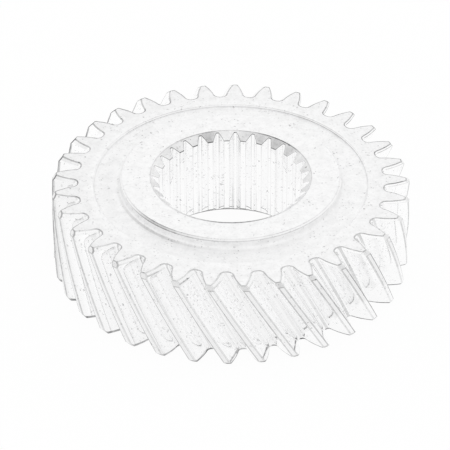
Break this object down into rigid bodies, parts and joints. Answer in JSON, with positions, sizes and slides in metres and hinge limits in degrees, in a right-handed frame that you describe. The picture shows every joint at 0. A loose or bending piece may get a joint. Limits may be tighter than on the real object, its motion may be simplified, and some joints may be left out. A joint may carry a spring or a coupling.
{
  "type": "helical gear",
  "caption": "Left-hand helical gear with a splined through bore, a raised hub ring and a shallow recess in each face, machined from one piece of steel.",
  "frame": {"origin": "centre of the lower rim face, on the axis of rotation", "axes": "+Z along the axis of rotation, towards the face where the hub stands proud; +X through the middle of a spline tooth"},
  "size_m": [0.0996, 0.0996, 0.0282],
  "materials": {
    "gear_steel": "satin machined steel with fine pits"
  },
  "bodies": {
    "root": {"gear": "gear_steel"}
  },
  "joints": []
}
